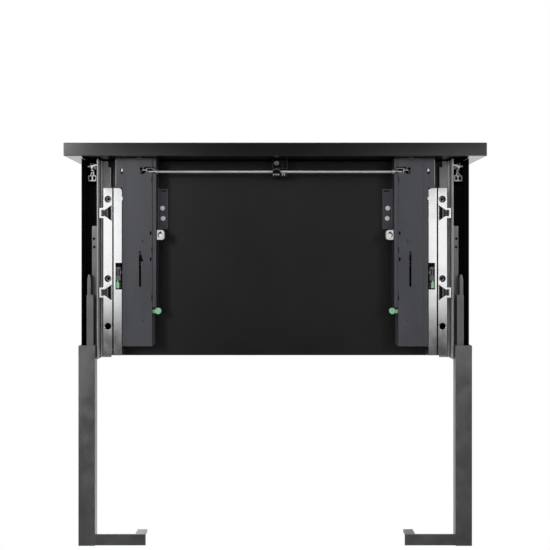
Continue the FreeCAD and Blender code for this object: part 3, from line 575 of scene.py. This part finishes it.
def plate(shape, outlines, z, rounding):
    """A flat plate with holes and rounded edges, whose outlines are seen from above."""
    curve = bpy.data.curves.new("outline", "CURVE")
    curve.dimensions = "2D"
    curve.fill_mode = "BOTH"
    curve.extrude = (z[1] - z[0]) / 2 - rounding
    curve.bevel_depth = rounding
    curve.bevel_resolution = 2
    curve.offset = -rounding
    for outline in outlines:
        line = curve.splines.new("POLY")
        line.points.add(len(outline) - 1)
        line.use_cyclic_u = True
        for point, (x, y) in zip(line.points, outline):
            point.co = (x, y, 0, 1)
    holder = bpy.data.objects.new("outline", curve)
    mesh = bpy.data.meshes.new_from_object(holder)
    mesh.transform(Matrix.Translation((0, 0, (z[0] + z[1]) / 2)))
    shape.from_mesh(mesh)
    bpy.data.objects.remove(holder)
    bpy.data.curves.remove(curve)
    bpy.data.meshes.remove(mesh)
    bmesh.ops.remove_doubles(shape, verts=shape.verts, dist=OUTLINE_WELD)


def trim(name, build, material, body, slot, width, replaced=(), paired=False):
    """Make a piece of trim with its edges rounded by a width in mm.

    A name or body with {} has a left and a right, and a paired piece has both in it.
    """
    for side in SIDES if "{}" in name else ("left",):
        shape = bmesh.new()
        build(shape)
        bmesh.ops.recalc_face_normals(shape, faces=shape.faces)
        bmesh.ops.scale(shape, vec=(MM, MM, MM), verts=shape.verts)
        if width:
            round_edges(shape, width, TRIM_BEVEL_ABOVE)
        if paired:
            twin = bmesh.ops.duplicate(shape, geom=shape.verts[:] + shape.edges[:] + shape.faces[:])["geom"]
            mirror(shape, [part for part in twin if isinstance(part, bmesh.types.BMVert)],
                   [part for part in twin if isinstance(part, bmesh.types.BMFace)])
        if side == "right":
            mirror(shape, shape.verts, shape.faces)
        piece = add_mesh(name.format(side), shape, material)
        seat(piece, body.format(side), slot, *[node.format(side) for node in replaced])


# Rolled bead on the drawer rail's inner leg, in a paler zinc that paints its highlight, and thin dark strips
# beside it that paint the bead's shadow
LEG_SPAN = (-265, 21.5)


def leg_bead(shape):
    block(shape, (-leg_out - 0.3, -leg_out + 1.1), LEG_SPAN, (carrier_low + 12.6, carrier_low + 16.8))


def leg_groove(shape):
    for low, high in ((8.2, 12.7), (16.7, 19.4)):
        block(shape, (-leg_out - 0.3, -leg_out + 0.12), LEG_SPAN, (carrier_low + low, carrier_low + high))


trim("leg_bead_{}", leg_bead, bead_zinc, "drawer", "zinc_steel", 0.4)
trim("leg_groove_{}", leg_groove, shade_zinc, "drawer", "zinc_steel", 0.05)


# Plate between the side's flange and the ejector unit, in a darker grey that paints its shade, and thin zinc
# strips along the unit's outer edge in front of the rail and at its front, which paint highlights
def infill(shape):
    block(shape, (-236, -229.2), (-265, -223.6), (base_low - 1, base_low))


def unit_edge(shape):
    block(shape, (-229.1, -228.3), (-264.5, -224.2), (carrier_low + 1.3, carrier_low + 1.9))
    block(shape, (-229.2, -228.3), (-240.5, -230.5), (carrier_low + 1.2, carrier_low + 2.1))
    block(shape, (-198.6, -191.4), (-266.4, -265.7), (carrier_low + 0.2, carrier_low + 1))


trim("side_infill_{}", infill, wall_grey, "drawer", "grey_plastic", 0.15)
trim("unit_edge_{}", unit_edge, lip_zinc, "drawer", "zinc_steel", 0.1)

# Dark pad between the side and the front panel, and the bare front edge of the side's outer wall
SIDE_WALL_Z = (12.8, 134)


def front_pad(shape):
    block(shape, (-276.7, -255), (-266.9, -266.1), SIDE_WALL_Z)


def side_edge(shape):
    block(shape, (-277.9, -276.7), (-266, -265), SIDE_WALL_Z)


trim("front_pad_{}", front_pad, pitch, "drawer", "black_plastic", 0.1)
trim("side_edge_{}", side_edge, fixing_metal, "drawer", "zinc_steel", 0.1)

# Cone pin in the unit's keyhole
KEYHOLE = (-219.8, -248.9)


def keyhole_pin(shape):
    cone = rounded([(-220.3, -251.4, 0.5), (-219.3, -251.4, 0.5),
                    (-217.9, -247.2, 0.8), (-221.7, -247.2, 0.8)])
    plate(shape, [cone], (carrier_low + 0.8, carrier_low + 4), 0.5)
    bar(shape, (*KEYHOLE, carrier_low + 3.9), (*KEYHOLE, base_low), 1.8)


trim("keyhole_pin_{}", keyhole_pin, rivet_metal, "drawer", "light_metal", 0)

# Stepped faces of the blocks that show in the carrier rail's cut-outs
CUTOUTS = (-187.5, -73.5)
CUTOUT_RIBS = (-2.4, 0, 2.4)
# Each step's reach inwards from the rail's outer edge, half its length, and its heights over the rail's face
INSERT_STEPS = (
    ((4.6, 6.4), 6.4, (0.15, 2)),
    ((9.0, 9.7), 8.8, (0.9, 2)),
    ((10.6, 11.8), 9.8, (0.25, 2)),
    ((-2.2, -1.4), 3.2, (0.2, 1.4)),
)


def insert_steps(shape):
    near = -carrier_out
    for y in CUTOUTS:
        for across, half, height in INSERT_STEPS:
            block(shape, (near + across[0], near + across[1]), (y - half, y + half),
                  (carrier_low + height[0], carrier_low + height[1]))
        for rib in CUTOUT_RIBS:
            block(shape, (near - 0.6, near + 3.4), (y + rib - 0.5, y + rib + 0.5),
                  (carrier_low + 0.3, carrier_low + 1.4))


trim("insert_steps_{}", insert_steps, post_grey, "drawer", "black_plastic", 0.2)

# Posts and guide of the lock, seen in the carrier rail's window
LOCK_X = (-228.3, -221.9)
LOCK_GUIDE_Y = (-107.3, -97.2)


def lock_posts(shape):
    heights = (carrier_low + 0.3, carrier_low + 4.5)
    block(shape, LOCK_X, (-110, -107.1), heights)
    block(shape, (LOCK_X[0], -227.8), LOCK_GUIDE_Y, heights)
    block(shape, (-226.3, -224.6), LOCK_GUIDE_Y, heights)
    block(shape, (-223, LOCK_X[1]), LOCK_GUIDE_Y, heights)
    block(shape, LOCK_X, (-97.3, -90.7), heights)
    prism(shape, [(-222, -105.2), (-219.9, -102.4), (-222, -99.6)], heights)


trim("lock_posts_{}", lock_posts, post_grey, "drawer", "black_plastic", 0.2)


# Green release lever, with its shaded flank, at the end of the lock
def release_lever(shape):
    outline = rounded([(-227.2, -91.6, 0.4), (-225.6, -91.6, 0.4), (-225.2, -88.6, 0.6), (-223.9, -87.2, 0.6),
                       (-223.9, -79.6, 0.6), (-228, -79.6, 0.5), (-228, -87.4, 0.6), (-227.4, -88.6, 0.6)])
    plate(shape, [outline], (13, 17.6), 0.35)


def release_flank(shape):
    outline = [(-224.6, -89.4), (-223.2, -89.2), (-221.4, -86.4), (-221.4, -79.7), (-224.6, -79.7)]
    prism(shape, outline, (14.2, 19))


trim("release_lever_{}_body", release_lever, green, "lock_release_{}", "green_plastic", 0,
     replaced=["release_lever_{}"])
trim("release_flank_{}", release_flank, green_shade, "lock_release_{}", "green_plastic", 0.3)

# Pale metal rings on the socket screws: painted highlight on the lit rims of the screw heads
SCREW_ROWS = (-207.3, -93.4)


def socket_rims(shape):
    for y in SCREW_ROWS:
        ring(shape, (-carrier_out + 6.6, y, carrier_low + 3.05), 2.75, 0.42, flat=0.6)


trim("socket_rims_{}", socket_rims, cast, "drawer", "black_screw", 0)

# White adjuster block with a notched round well, and the cam in it with its driving slot; the well's black
# floor is painted shade
CAM = (-165.2, -156)
WELL = (-165.8, -156.3)
NOTCH_SPREAD = 0.6
NOTCH_SHIFT = 0.15


def notched_circle(x, y, radius, depth, sides=72):
    """A round outline that reaches further out towards -y."""
    points = []
    for across, along in circle(0, 0, 1, sides):
        off = abs(math.atan2(across - NOTCH_SHIFT, -along))
        reach = radius + depth * max(0, 1 - off / NOTCH_SPREAD)
        points.append((x + across * reach, y + along * reach))
    return points


def adjuster_block(shape):
    body = rounded([(-170.4, -163.3, 1.2), (-159.8, -163.3, 3.9),
                    (-159.8, -149.2, 3.9), (-170.4, -149.2, 0.9)])
    plate(shape, [body, notched_circle(*WELL, 3.4, 1.7)], (15, 21), 0.4)
    block(shape, (-170.9, -166), (-160, -152), (20.6, 32.9))


def adjuster_well(shape):
    x, y = WELL
    bar(shape, (x, y - 0.6, 17.6), (x, y - 0.6, 20.8), 4.6)


def cam(shape):
    x, y = CAM
    slot = rounded_box((x - 0.7, x + 0.7), (y - 0.9, y + 1.5), 0.6)
    plate(shape, [circle(x + 0.2, y + 0.3, 2.5), slot], (14.7, 16), 0.2)
    bar(shape, (x, y, 15.9), (x, y, 18.5), 2.2)


trim("adjuster_block_{}_body", adjuster_block, white, "drawer", "white_plastic", 0,
     replaced=["adjuster_block_{}"])
trim("adjuster_well_{}", adjuster_well, pitch, "drawer", "black_plastic", 0.1)
trim("adjuster_cam_{}_body", cam, cam_white, "side_adjuster_{}", "white_plastic", 0,
     replaced=["adjuster_cam_{}"])

# Shaft couplings: a two-pronged fork, and a collar with a hoop round the shaft's end
SHAFT = (-247.9, 20.5)


def fork(shape):
    y, z = SHAFT
    bar(shape, (-191.9, y - 5.1, z - 3.2), (-189, y - 5.1, z - 3.2), 0.75)
    bar(shape, (-192.4, y - 1.9, z - 3), (-188.7, y - 1.9, z - 3), 0.95)
    bar(shape, (-189, y - 1.9, z - 2.8), (-185, y - 1.9, z - 2.8), 0.7)
    bar(shape, (-186, y - 0.6, z), (-184.6, y - 0.6, z), 2.7)


def coupling_block(shape):
    y, z = SHAFT
    block(shape, (-193, -185.4), (y - 5, y + 3), (z - 2.3, z + 3.2))
    block(shape, (-185.6, -183.2), (y - 2.4, y + 1.4), (z - 2, z + 3))


def hoop(shape):
    y, z = SHAFT
    bar(shape, (-186.2, y - 4.6, z - 2.4), (-177.3, y - 4.6, z - 2.4), 0.65)
    bar(shape, (-177.4, y - 4.6, z - 2.4), (-174.4, y - 2.2, z - 2.2), 0.65)
    bar(shape, (-186, y - 4.6, z - 2.4), (-186, y - 1.2, z - 2.4), 0.6)


trim("shaft_forks", fork, bead_zinc, "shaft", "light_metal", 0.2, replaced=["shaft_couplings"], paired=True)
trim("shaft_coupling_blocks", coupling_block, pitch, "shaft", "black_plastic", 0.25, paired=True)
trim("shaft_hoops", hoop, bead_zinc, "shaft", "light_metal", 0.15, paired=True)

# Black disc behind the small notch by the shaft: painted shade for its hollow
NOTCH = (-174.2, -245.6)


def shaft_notch(shape):
    bar(shape, (*NOTCH, 12.4), (*NOTCH, 13), 1.15)


trim("shaft_notch_{}", shaft_notch, pitch, "drawer", "black_plastic", 0)

# Centre bracket of the shaft: a framed plate with a saddle under the shaft and fins behind it
BRACKET_X = (-4.2, 18.2)
BRACKET_TOP = 33
FIN_TOP = 30
SCREW = (1.9, -261)


def bracket_frame(shape):
    left, right = BRACKET_X
    block(shape, BRACKET_X, (-266.3, -240.5), (28.4, BRACKET_TOP))
    block(shape, (left, -2.8), (-266.3, -252.5), (20.8, 28.2))
    block(shape, (16.6, right), (-266.3, -252.5), (20.8, 28.2))
    block(shape, (9.8, 11.2), (-259.2, -252.5), (21.2, 28.2))
    block(shape, BRACKET_X, (-253.9, -251.8), (20.6, BRACKET_TOP))


def bracket_arch(shape):
    ring(shape, (1.9, -255.6, 23.4), 2.5, 0.6)


def bracket_saddle(shape):
    dome = rounded([(-4, -246.2, 0.4), (-3.3, -248.4, 1.6), (-0.6, -249.5, 2.8), (4.4, -249.5, 2.8),
                    (7.1, -248.4, 1.6), (7.8, -246.2, 0.4), (6.2, -245.4, 0.4), (1.9, -247.6, 3.4),
                    (-2.4, -245.4, 0.4)])
    plate(shape, [dome], (16.3, 17.5), 0.25)
    block(shape, (-2.4, 6.2), (-249, -245), (17.3, 18.3))


def bracket_fins(shape):
    for x in (-2, 1.6, 4.9):
        bar(shape, (x, -243.5, 17), (x, -243.5, FIN_TOP), 1.35, sides=20)
    for x in (10.4, 13.5):
        block(shape, (x - 0.7, x + 0.7), (-245.8, -241.8), (17.2, FIN_TOP))


def bracket_tail(shape):
    block(shape, (16.2, 17.4), (-245.8, -240.7), (18, FIN_TOP))
    block(shape, (6.9, 17.2), (-241.7, -240.7), (18, FIN_TOP))
    block(shape, (-3.6, 6.2), (-242.4, -241), (22, FIN_TOP))


def bracket_clip(shape):
    line = [(-3.6, -248.9), (-2, -250.4), (0.4, -251.2), (3.4, -251.2), (5.8, -250.4), (7.4, -248.9)]
    for start, end in zip(line, line[1:]):
        strip(shape, start, end, 1.1, (16.7, 18.2))


def bracket_screw(shape):
    bar(shape, (*SCREW, 21.8), (*SCREW, 22.6), 2.9, 3.5)
    bar(shape, (*SCREW, 22.6), (*SCREW, 24), 3.5)
    bar(shape, (*SCREW, 23.9), (*SCREW, 32.8), 1.6)


# A black hexagon on the screw head: painted shade for its socket
def screw_recess(shape):
    bar(shape, (1.7, -260.2, 21.6), (1.7, -260.2, 22.4), 1.15, 0.9, sides=6)


trim("shaft_bracket_frame", bracket_frame, black, "drawer", "black_plastic", 0.25, replaced=["shaft_bracket"])
trim("shaft_bracket_arch", bracket_arch, pitch, "drawer", "black_plastic", 0)
trim("shaft_bracket_saddle", bracket_saddle, pitch, "drawer", "black_plastic", 0)
trim("shaft_bracket_fins", bracket_fins, fixing_metal, "drawer", "black_plastic", 0.3)
trim("shaft_bracket_tail", bracket_tail, black, "drawer", "black_plastic", 0.2)
trim("shaft_bracket_clip", bracket_clip, dull_cast, "drawer", "black_plastic", 0.2)
trim("bracket_screw_body", bracket_screw, fixing_metal, "drawer", "light_metal", 0.25,
     replaced=["bracket_screw"])
trim("bracket_screw_recess", screw_recess, pitch, "drawer", "black_plastic", 0)

# Silver fixing of the front, deep in the side's cavity
FIXING_X = (-272.4, -260.4)
FIXING_Y = (-243.5, -234.6)
WINDOW_Y = (-241.9, -236.6)


def fixing_frame(shape):
    (left, right), (front, back) = FIXING_X, FIXING_Y
    outer = rounded([(left, front, 0.8), (right, front, 0.8), (right, back, 1.8), (left, back, 1.8)])
    windows = [rounded_box(x, WINDOW_Y, 1.0) for x in ((-271.1, -267.1), (-265.2, -261.6))]
    plate(shape, [outer, *windows], (24, 27), 0.3)


def fixing_arms(shape):
    strip(shape, (-269.3, -243), (-266, -248.4), 1.3, (24.2, 27))
    strip(shape, (-264.4, -243), (-264.4, -248.8), 1.5, (24.2, 27))
    strip(shape, (-268.4, -250.8), (-263.9, -250.8), 1.2, (24.2, 27))
    strip(shape, (-269.1, -261.6), (-269.1, -257.6), 1.0, (24.6, 28))
    strip(shape, (-266.2, -257.4), (-266.2, -250.6), 0.9, (25.6, 28))


def fixing_hook(shape):
    strip(shape, (-268.4, -256.4), (-259.6, -258.6), 2.7, (23.8, 28))
    strip(shape, (-273, -256.3), (-268.2, -256.6), 1.8, (24.2, 28))
    bar(shape, (-267.1, -254.5, 23.8), (-267.1, -254.5, 28), 1.6)


def fixing_plates(shape):
    block(shape, (-267, -265), (-262, -234.6), (27, 112))
    block(shape, (-274.2, -263.6), (-266.9, -265.6), (36, 116))
    block(shape, (-267, -265), (-266, -261.5), (36, 112))
    bar(shape, (-270.5, -251.5, 72), (-264.5, -251.5, 72), 5)


def fixing_knob(shape):
    bar(shape, (-262.2, -254.1, 24.4), (-262.2, -254.1, 36), 1.9)


trim("front_fixing_{}_frame", fixing_frame, fixing_metal, "drawer", "light_metal", 0,
     replaced=["front_fixing_{}"])
trim("front_fixing_{}_arms", fixing_arms, fixing_metal, "drawer", "light_metal", 0.2)
trim("front_fixing_{}_hook", fixing_hook, rivet_metal, "drawer", "light_metal", 0.3)
trim("front_fixing_{}_plates", fixing_plates, dull_cast, "drawer", "light_metal", 0.25)
trim("front_fixing_{}_knob", fixing_knob, dull_cast, "drawer", "light_metal", 0.3)


# Strip that closes the joint between the front and the base
def joint_strip(shape):
    block(shape, (-261, 261), (-267.1, -265.3), (38, 48.6))


trim("base_joint_strip", joint_strip, pitch, "drawer", "black_plastic", 0.3)

# Two collars of the ejector's rod, which show in the long slot and clear the spring's rear rib
ROD_X = -193
ROD_HEIGHT = 8
COLLAR_LENGTH = 1.5
COLLARS = ((-116.3, 3.3), (-112, 3.1))


def rod_collar(shape):
    z = carrier_low + ROD_HEIGHT
    for back, radius in COLLARS:
        bar(shape, (ROD_X, back - COLLAR_LENGTH, z), (ROD_X, back, z), radius)


trim("rod_collar_{}", rod_collar, fixing_metal, "ejector_{}", "black_plastic", 0.3)

# Ejector springs: copies of the spring nodes in spring wire, between the housing and the carriage
SPRING_SMOOTH_BELOW = 60
for side in SIDES:
    node = f"ejector_spring_{side}"
    shape = bmesh.new()
    shape.from_mesh(frame["nodes"][node].data)
    spring = add_mesh(f"{node}_wire", shape, spring_metal, SPRING_SMOOTH_BELOW)
    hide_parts(node)
    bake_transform(spring)


# Stage, lights and camera, in metres

FLOOR_SIZE = 14
FLOOR_HEIGHT = -1.25
FLOOR_COLOUR = plain(0.86)
FLOOR_ROUGH = 0.9
WORLD_LEVEL = 0.45


def stage_material(name, colour):
    """Pale and matt under the lamps; metal mirrors it as a white card with a darker middle and far end."""
    material = bpy.data.materials.new(name)
    material.use_nodes = True
    tree = material.node_tree
    shader = tree.nodes["Principled BSDF"]
    shader.inputs["Base Color"].default_value = colour
    shader.inputs["Roughness"].default_value = FLOOR_ROUGH
    place = tree.nodes.new("ShaderNodeTexCoord")
    split = tree.nodes.new("ShaderNodeSeparateXYZ")
    tree.links.new(place.outputs["Object"], split.inputs["Vector"])
    # The glow is dimmed in the middle, at the far end and in front: painted shade in what metal mirrors
    off_middle = math_node(tree, "ABSOLUTE", split.outputs["X"])
    across = remap(tree, off_middle, (0.3, 0.52), (0.15, 1.0), smooth=True)
    front = remap(tree, split.outputs["Y"], (-0.48, -0.39), (0.03, 1.0), smooth=True)
    rear = remap(tree, split.outputs["Y"], (0.005, 0.15), (1.0, 0.05), smooth=True)
    level = math_node(tree, "MULTIPLY", math_node(tree, "MULTIPLY", across, front), rear)
    glow = tree.nodes.new("ShaderNodeEmission")
    tree.links.new(level, glow.inputs["Strength"])
    path = tree.nodes.new("ShaderNodeLightPath")
    mix = tree.nodes.new("ShaderNodeMixShader")
    sources = (path.outputs["Is Glossy Ray"], shader.outputs["BSDF"], glow.outputs["Emission"])
    for source, socket in zip(sources, mix.inputs):
        tree.links.new(source, socket)
    tree.links.new(mix.outputs["Shader"], tree.nodes["Material Output"].inputs["Surface"])
    return material


bpy.ops.mesh.primitive_plane_add(size=FLOOR_SIZE, location=(0, 0, FLOOR_HEIGHT))
floor = bpy.context.object
floor.name = "floor"
floor.data.materials.append(stage_material("pale_floor", FLOOR_COLOUR))

# White where the camera, gloss and glass see the sky, and softer where it lights the object
world = bpy.data.worlds.new("studio")
bpy.context.scene.world = world
world.use_nodes = True
sky = world.node_tree
path = sky.nodes.new("ShaderNodeLightPath")
seen = math_node(sky, "MAXIMUM", path.outputs["Is Camera Ray"], path.outputs["Is Glossy Ray"])
seen = math_node(sky, "MAXIMUM", seen, path.outputs["Is Transmission Ray"])
background = sky.nodes["Background"]
background.inputs["Color"].default_value = plain(1)
sky.links.new(remap(sky, seen, (0, 1), (WORLD_LEVEL, 1.0)), background.inputs["Strength"])


def lamp(name, at, towards, size, power):
    """A square area light that faces a point."""
    data = bpy.data.lights.new(name, "AREA")
    data.shape = "SQUARE"
    data.size = size
    data.energy = power
    made = bpy.data.objects.new(name, data)
    made.location = at
    made.rotation_euler = (Vector(towards) - Vector(at)).to_track_quat("-Z", "Y").to_euler()
    bpy.context.scene.collection.objects.link(made)


lamp("left_light", at=(-1.06, -0.6, -1.2), towards=(-0.28, -0.27, 0), size=0.5, power=14.0)
lamp("right_light", at=(1.18, -0.6, -1.2), towards=(0.28, -0.27, 0), size=0.5, power=8.0)
lamp("under_light", at=(0.0, -1.3, -1.1), towards=(0, -0.1, 0), size=0.6, power=4.0)
lamp("top_light", at=(-0.9, -1.0, 1.5), towards=(0, 0, 0.1), size=1.2, power=12.0)
lamp("rear_light", at=(1.0, 1.2, 1.1), towards=(0, 0, 0.1), size=1.0, power=8.0)

# The camera looks straight up from below, as in the photograph
camera_data = bpy.data.cameras.new("camera")
camera_data.sensor_width = 36
camera_data.lens = 34.95
camera_data.shift_x = -0.0004
camera_data.shift_y = -0.0253
camera_data.clip_start = 0.01
camera = bpy.data.objects.new("camera", camera_data)
camera.location = (0, -0.1186, -0.753)
camera.rotation_euler = (math.pi, 0, 0)
bpy.context.scene.collection.objects.link(camera)
bpy.context.scene.camera = camera
bpy.context.scene.view_settings.view_transform = "Standard"
